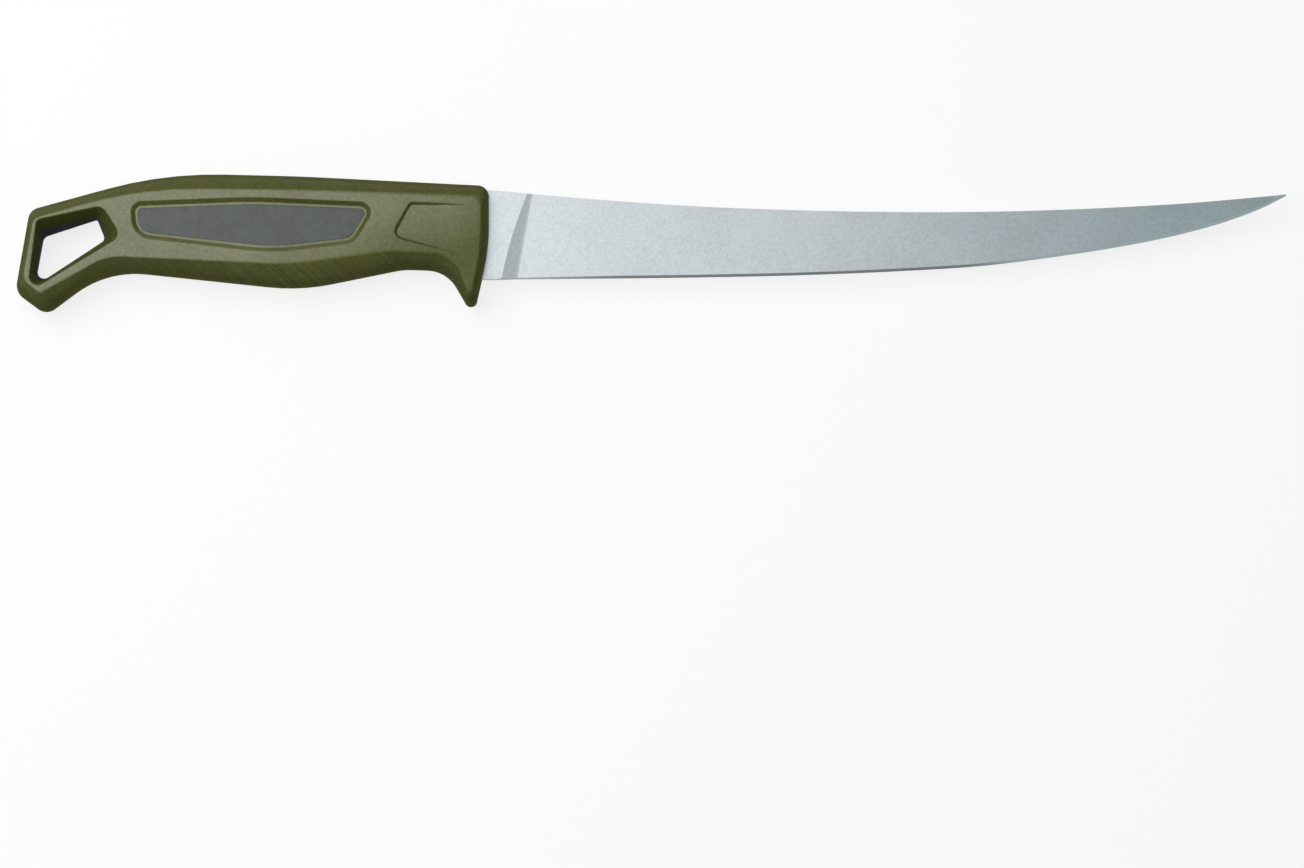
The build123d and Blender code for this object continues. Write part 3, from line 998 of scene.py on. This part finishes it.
class KNIFE_OT_blade(bpy.types.Operator):
    """Make the blade: a tapered plate with its tang, hollow ground in front of the plunge line"""

    bl_idname = "knife.blade"
    bl_label = "Blade"

    def execute(self, context):
        options = context.scene.knife_blade
        stock = options.stock / 2
        skin = Skin()
        sides = [self.side(options, stock, row) for row in FLANK_ROWS + BEVEL_ROWS]

        # The spine's corner is slightly rounded, and its top meets the other half
        points, halves = sides[0]
        rows = [skin.row(points, 0.0)]
        for down, inward in ((0.0, 1.0), (0.3, 0.3), (1.0, 0.0)):
            drop = Vector((0, SPINE_ROUNDING * down))
            narrowed = SPINE_ROUNDING * inward
            rows.append(skin.row([p - drop for p in points], [h - narrowed for h in halves]))
        for points, halves in sides[1:]:
            rows.append(skin.row(points, halves))
        rows.append(skin.row(sides[-1][0], 0.0))
        skin.sweep(rows, closed=False)
        skin.mesh.faces.new([row[-1] for row in rows])
        self.tang(skin, stock)
        skin.mirror()
        skin.piece("blade_ground", satin_steel(options), "blade")
        return {"FINISHED"}

    def section(self, options, x, row):
        """Height and half thickness of the ground blade at a distance from the heel, on a row
        of its side: 0 at the spine, 1 where the edge bevel starts and 2 at the edge."""
        along = min(max(x / BLADE_LENGTH, 0.0), 1.0)
        spine = blade_line(1, along)
        edge = blade_line(2, along)
        grown = mix(BEVEL_HEEL_SHARE, 1.0, min(along / BEVEL_FULL_SHARE, 1.0))
        bevel = min(options.bevel_height * grown, BEVEL_LARGEST_SHARE * (spine - edge))
        if row > 1:
            half = mix(options.bevel_thickness, options.edge_width, row - 1) / 2
            return mix(edge + bevel, edge, row - 1), half
        thick = mix(options.spine_heel, options.spine_tip, along)
        hollow = options.hollow * ((spine - edge) / BLADE_HEIGHT) ** 2
        half = mix(thick, options.bevel_thickness, row) / 2 - hollow * 4 * row * (1 - row)
        return mix(spine, edge + bevel, row), half

    def side(self, options, stock, row):
        """Points and half thicknesses along a row of the side, from the shoulder to the tip."""
        rise = options.ramp_rise
        ease = options.ramp_ease
        plunge = mix(options.plunge_top, options.plunge_foot, min(row, 1.0))
        ground = self.section(options, plunge, row)[1]
        deep = stock - ground
        if deep < rise * ease / 2:
            ramp = sqrt(2 * ease * deep / rise)
        else:
            ramp = deep / rise + ease / 2

        # The plate, the slightly rounded crease where the ramp starts, and the eased ramp
        crease = plunge - ramp
        line = [(mix(SHOULDER, crease, share), stock) for share in PLATE_STATIONS]
        for share in ROUNDING_SHARES:
            x = crease + PLUNGE_ROUNDING * (2 * share - 1)
            line.append((x, stock - share**2 * rise * PLUNGE_ROUNDING))
        for i in range(1, RAMP_STATIONS + 1):
            back = (ramp - PLUNGE_ROUNDING) * (1 - i / RAMP_STATIONS)
            if back < ease:
                lift = rise * back**2 / (2 * ease)
            else:
                lift = rise * (back - ease / 2)
            line.append((plunge - back, ground + lift))

        # The ground flank, to the tip
        for i in range(1, FLANK_STATIONS + 1):
            x = BLADE_LENGTH * mix(FLANK_START_SHARE, 1.0, i / FLANK_STATIONS)
            x += (plunge - options.plunge_top) * max(0.0, 1 - i / SLANTED_STATIONS)
            line.append((x, self.section(options, x, row)[1]))
        points = [HEEL + Vector((x, self.section(options, x, row)[0])) for x, _ in line]
        return points, [half for _, half in line]

    def tang(self, skin, stock):
        """Flat tang behind the shoulders, with its two lock holes, inside the handle."""
        rims = [heel_outline(TANG_CORNERS, TANG_RADII)]
        reach = TANG_HOLE_RADIUS
        around = ((-reach, -reach), (-reach, reach), (reach, reach), (reach, -reach))
        for x, y in TANG_HOLES:
            corners = [(x + right, y + up) for right, up in around]
            rims.append(heel_outline(corners, [reach * NEARLY_ROUND] * len(corners)))
        tops = []
        for rim in rims:
            points = rim.points(rim.steps())
            foot = skin.row(points, 0.0)
            tops.append(skin.row(points, stock))
            skin.bridge(foot, tops[-1])
        skin.fill(tops[0], tops[1:])


class KNIFE_OT_core(bpy.types.Operator):
    """Make the rigid core: its side panels, its plate and the liner of the lanyard loop"""

    bl_idname = "knife.core"
    bl_label = "Rigid core"

    def execute(self, context):
        options = context.scene.knife_core
        skin = Skin()

        # The side panel, with a slightly rounded rim
        panel = handle_outline(PANEL_CORNERS, PANEL_RADII)
        steps = panel.steps()
        top = HALF_THICKNESS - options.panel_sink
        rows = [skin.row(panel.grown(-options.seam).points(steps), 0.0)]
        for inward, down in ((0.0, 1.0), (0.3, 0.3), (1.0, 0.0)):
            rim = panel.grown(-options.seam - PANEL_ROUNDING * inward)
            rows.append(skin.row(rim.points(steps), top - PANEL_ROUNDING * down))
        skin.sweep(rows)
        skin.fill(rows[-1])

        # The liner of the loop, which leaves its straight waist on an eased splay
        waist = handle_outline(WAIST_CORNERS, WAIST_RADII)
        mouth = handle_outline(MOUTH_CORNERS, MOUTH_RADII)
        steps = waist.steps()
        face = options.plate / 2
        band = options.waist_band / 2
        liner = waist.toward(mouth, LINER_SHARES)
        eased = waist.toward(liner, [SPLAY_EASE_OUT] * len(LINER_SHARES))
        liner_rows = [
            skin.row(waist.points(steps), 0.0),
            skin.row(waist.points(steps), band * WAIST_STRAIGHT_SHARE),
            skin.row(eased.points(steps), mix(band, face, SPLAY_EASE_UP)),
            skin.row(liner.points(steps), face),
        ]
        skin.sweep(liner_rows)

        # The plate round the loop and inside the grip, and the sleeve round the tang on it
        plate = handle_outline(PLATE_CORNERS, [PLATE_RADIUS] * len(PLATE_CORNERS))
        plate_points = plate.points(plate.steps())
        plate_rows = [skin.row(plate_points, 0.0), skin.row(plate_points, face)]
        skin.sweep(plate_rows)
        skin.fill(plate_rows[-1], [liner_rows[-1]])
        sleeve = heel_outline(SLEEVE_CORNERS, SLEEVE_RADII)
        sleeve_points = sleeve.points(sleeve.steps())
        sleeve_rows = [
            skin.row(sleeve_points, face), skin.row(sleeve_points, options.sleeve / 2)
        ]
        skin.sweep(sleeve_rows)
        skin.fill(sleeve_rows[-1])
        skin.mirror()
        skin.piece("handle_core_moulding", rigid_core(options), "handle_core")
        return {"FINISHED"}


class KNIFE_OT_grip(bpy.types.Operator):
    """Make the soft grip: crowned edges, side windows, thumb recesses and the lanyard loop"""

    bl_idname = "knife.grip"
    bl_label = "Soft grip"

    def execute(self, context):
        options = context.scene.knife_grip
        core = context.scene.knife_core
        skin = Skin()
        rim = handle_outline(RIM_CORNERS, RIM_RADII)
        flat = handle_outline(FLAT_CORNERS, FLAT_RADII)
        steps = rim.steps(FINE_STEP)
        top = HALF_THICKNESS

        def crown(level):
            """Points round the handle at a share of the way up from the rim to the flat."""
            shares = []
            for angle in CROWN_DEGREES:
                steepest = radians(angle)
                here = asin(level * sin(steepest))
                shares.append((1 - cos(here)) / (1 - cos(steepest)))
            return rim.toward(flat, shares).points(steps)

        # The edge band, from the rim up to the crease, which is rounded into the flat
        last = 1 - options.crease * CREASE_FALL_SHARE / top
        levels = [last * i / CROWN_LEVELS for i in range(CROWN_LEVELS + 1)]
        rows = [skin.row(crown(level), top * level) for level in levels]
        before = crown(last)
        corner = flat.points(steps)
        after = flat.toward(flat.grown(-options.crease), CREASE_SHARES).points(steps)
        for share in ROUNDING_SHARES[1:]:
            points = [rounded(*three, share) for three in zip(before, corner, after)]
            rows.append(skin.row(points, rounded(top * last, top, top, share)))
        skin.sweep(rows)

        openings = [
            self.loop(skin, options, top, core.plate / 2),
            self.window(skin, options, top, core.panel_sink),
            self.thumb_recess(skin, options, top),
        ]
        skin.fill(rows[-1], openings)
        skin.mirror()
        skin.piece("grip_soft_moulding", soft_grip(options), "grip_overmould")
        return {"FINISHED"}

    def loop(self, skin, options, top, face):
        """Lanyard loop from its lip in the flat to the core's face and on; returns its edge."""
        waist = handle_outline(WAIST_CORNERS, WAIST_RADII)
        mouth = handle_outline(MOUTH_CORNERS, MOUTH_RADII)
        liner = waist.toward(mouth, LINER_SHARES)
        fall = options.lip / (top - face)
        steps = mouth.steps()
        rows = skin.lip(
            mouth.grown(options.lip).points(steps),
            mouth.points(steps),
            mouth.toward(liner, [fall] * len(MOUTH_CORNERS)).points(steps),
            top, top - options.lip,
        )
        rows.append(skin.row(liner.points(steps), face))
        rows.append(skin.row(liner.points(steps), 0.0))
        skin.sweep(rows)
        return rows[0]

    def window(self, skin, options, top, depth):
        """Bevelled window with a ledge round the side panel; returns its edge."""
        panel = handle_outline(PANEL_CORNERS, PANEL_RADII)
        ledge = panel.grown(options.window_ledge)
        widest = panel.grown(options.window_ledge + options.window_bevel)
        lip = options.lip * WINDOW_LIP_SHARE
        fall = lip * WINDOW_FALL_SHARE
        left = options.window_bevel * (1 - fall / depth)
        steps = panel.steps(FINE_STEP)
        rows = skin.lip(
            widest.grown(lip).points(steps),
            widest.points(steps),
            panel.grown(options.window_ledge + left).points(steps),
            top, top - fall,
        )
        rows.append(skin.row(ledge.points(steps), top - depth))
        rows.append(skin.row(panel.points(steps), top - depth))
        rows.append(skin.row(panel.points(steps), 0.0))
        skin.sweep(rows)
        return rows[0]

    def thumb_recess(self, skin, options, top):
        """Wedge-shaped recess that fades out towards the blade; returns its edge."""
        corners = [on_handle(*corner) for corner in THUMB_CORNERS]
        fade = on_handle(THUMB_FADE_SHARE, 0.0).x
        rear = corners[0].x
        ends = []
        for near, far in ((corners[0], corners[3]), (corners[1], corners[2])):
            ends.append(mix(near, far, (fade - near.x) / (far.x - near.x)))
        outline = Outline(
            [corners[0], corners[1], ends[1], ends[0]],
            [*(radius * MM for radius in THUMB_RADII), SMALLEST_RADIUS, SMALLEST_RADIUS],
        )

        # The floor's edge is open towards the blade: along the foot, round the two corners of
        # the rear with the run between them, and along the top
        runs = THUMB_RUN_POINTS
        rear_steps = outline.steps(COARSE_STEP)[:2]
        round_rear = outline.points([*rear_steps, 1, 1], runs)[:sum(rear_steps) + runs + 1]
        foot_run = [mix(ends[0], round_rear[0], i / runs) for i in range(runs)]
        top_run = [mix(round_rear[-1], ends[1], i / runs) for i in range(1, runs + 1)]
        floor = foot_run + round_rear + top_run
        outward = []
        for i, here in enumerate(floor):
            back = floor[max(i - 1, 0)]
            ahead = floor[min(i + 1, len(floor) - 1)]
            along = (ahead - back).normalized()
            outward.append(Vector((-along.y, along.x)))
        lip = options.lip * THUMB_LIP_SHARE
        outer = []
        corner = []
        inner = []
        low = []
        deep = []
        for here, away in zip(floor, outward):
            part = max(0.0, fade - here.x) / (fade - rear)
            # The step along the top stays high for longer than the one along the foot
            part = mix(part, 1 - (1 - part) ** 2, max(0.0, away.y))
            depth = options.thumb_step * part
            width = options.thumb_bevel * part
            outer.append(here + away * (width + lip * min(1.0, part * THUMB_LIP_GROWTH)))
            corner.append(here + away * width)
            inner.append(here + away * (width * (1 - THUMB_FALL_SHARE)))
            low.append(top - depth * THUMB_FALL_SHARE)
            deep.append(top - depth)
        rows = skin.lip(outer, corner, inner, top, low)
        rows.append(skin.row(floor, deep))
        skin.sweep(rows, closed=False)
        skin.fill(rows[-1])
        return rows[0]


class KNIFE_OT_stage(bpy.types.Operator):
    """Make the pale floor, the soft light and the camera"""

    bl_idname = "knife.stage"
    bl_label = "Stage"

    def execute(self, context):
        options = context.scene.knife_stage
        scene = context.scene
        self.floor(scene, options)
        self.key_light(scene, options)
        scene.world = pale_room(options)
        scene.camera = self.camera(scene, options)
        scene.view_settings.view_transform = "Standard"
        return {"FINISHED"}

    def floor(self, scene, options):
        """Large pale floor just below the knife."""
        mesh = bpy.data.meshes.new("floor")
        reach = FLOOR_REACH
        mesh.from_pydata(
            [(-reach, -reach, 0), (reach, -reach, 0), (reach, reach, 0), (-reach, reach, 0)],
            [], [(0, 1, 2, 3)],
        )
        mesh.materials.append(pale_floor(options))
        floor = bpy.data.objects.new("floor", mesh)
        floor.location.z = CAD_BOX[0].z - FLOOR_GAP
        scene.collection.objects.link(floor)

    def key_light(self, scene, options):
        """Large soft light overhead, which shines straight down."""
        lamp = bpy.data.lights.new("overhead_softbox", "AREA")
        lamp.shape = "RECTANGLE"
        lamp.size, lamp.size_y = options.key_size
        lamp.energy = options.key_power
        key = bpy.data.objects.new("overhead_softbox", lamp)
        key.location = (CAD_BOX[0] + CAD_BOX[1]) / 2 + Vector(options.key_place)
        scene.collection.objects.link(key)

    def camera(self, scene, options):
        """Camera that looks down on the side of the knife, with the tip to the right."""
        view = bpy.data.cameras.new("camera")
        view.sensor_width = 36.0
        view.lens = options.lens / MM
        view.clip_start = 0.05
        view.clip_end = 20.0
        camera = bpy.data.objects.new("camera", view)
        away = Vector((0.0, -cos(options.elevation), sin(options.elevation)))
        camera.location = Vector(options.aim) + away * options.distance
        camera.rotation_mode = "QUATERNION"
        camera.rotation_quaternion = (-away).to_track_quat("-Z", "Y")
        scene.collection.objects.link(camera)
        return camera


class KNIFE_PT_panel(bpy.types.Panel):
    """Fillet knife: its pieces and their settings"""

    bl_idname = "KNIFE_PT_panel"
    bl_label = "Fillet Knife"
    bl_space_type = "VIEW_3D"
    bl_region_type = "UI"
    bl_category = "Fillet Knife"

    def draw(self, context):
        for operator, _, settings in STEPS:
            column = self.layout.column()
            group = getattr(context.scene, settings)
            for name in group.__annotations__:
                column.prop(group, name)
            column.operator(operator.bl_idname)


STEPS = (
    (KNIFE_OT_blade, BladeSettings, "knife_blade"),
    (KNIFE_OT_core, CoreSettings, "knife_core"),
    (KNIFE_OT_grip, GripSettings, "knife_grip"),
    (KNIFE_OT_stage, StageSettings, "knife_stage"),
)


def register():
    """Registers the classes, and hangs each group of settings on the scene."""
    for operator, settings, name in STEPS:
        bpy.utils.register_class(settings)
        bpy.utils.register_class(operator)
        setattr(bpy.types.Scene, name, PointerProperty(type=settings))
    bpy.utils.register_class(KNIFE_PT_panel)


def unregister():
    """Takes the classes and the settings away again."""
    bpy.utils.unregister_class(KNIFE_PT_panel)
    for operator, settings, name in reversed(STEPS):
        delattr(bpy.types.Scene, name)
        bpy.utils.unregister_class(operator)
        bpy.utils.unregister_class(settings)


def main():
    """Makes the whole knife."""
    register()
    bpy.ops.knife.blade()
    bpy.ops.knife.core()
    bpy.ops.knife.grip()
    bpy.ops.knife.stage()


if __name__ == "__main__":
    main()
